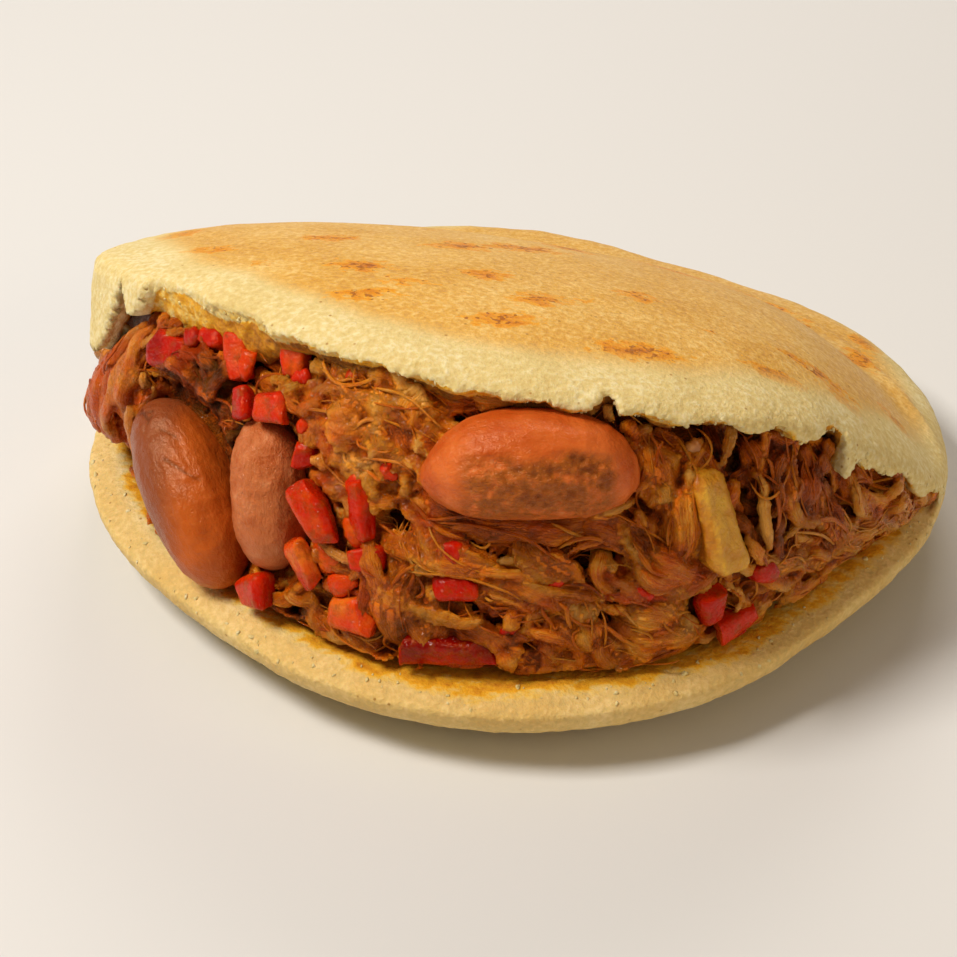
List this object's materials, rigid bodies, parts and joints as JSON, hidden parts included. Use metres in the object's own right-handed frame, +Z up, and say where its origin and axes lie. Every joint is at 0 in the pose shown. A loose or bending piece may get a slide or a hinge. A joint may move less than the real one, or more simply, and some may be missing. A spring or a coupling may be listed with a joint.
{
  "type": "filled arepa",
  "caption": "Round griddled corn bread split open like a shell and heaped with shredded beef, sausage chunks, diced red pepper and a potato wedge.",
  "frame": {"origin": "on the underside, below the middle of the plan", "axes": "+Z up; the open mouth faces -Y; +X is to the right of someone facing the mouth"},
  "size_m": [0.1297, 0.1302, 0.0544],
  "materials": {
    "corn_bread": "matte crumb with a griddled tan top",
    "beef": "wet",
    "sausage": "satin, wrinkled",
    "pepper": "wet",
    "potato": "satin"
  },
  "bodies": {
    "root": {"bread": "corn_bread", "shredded_beef": "beef", "sausage_left": "sausage", "sausage_middle": "sausage", "sausage_right": "sausage", "potato_wedge": "potato", "pepper_01": "pepper", "pepper_02": "pepper", "pepper_03": "pepper", "pepper_04": "pepper", "pepper_05": "pepper", "pepper_06": "pepper", "pepper_07": "pepper", "pepper_08": "pepper", "pepper_09": "pepper", "pepper_10": "pepper", "pepper_11": "pepper", "pepper_12": "pepper", "pepper_13": "pepper", "pepper_14": "pepper", "pepper_15": "pepper", "pepper_16": "pepper", "pepper_17": "pepper", "pepper_18": "pepper", "pepper_19": "pepper", "pepper_20": "pepper"}
  },
  "joints": []
}
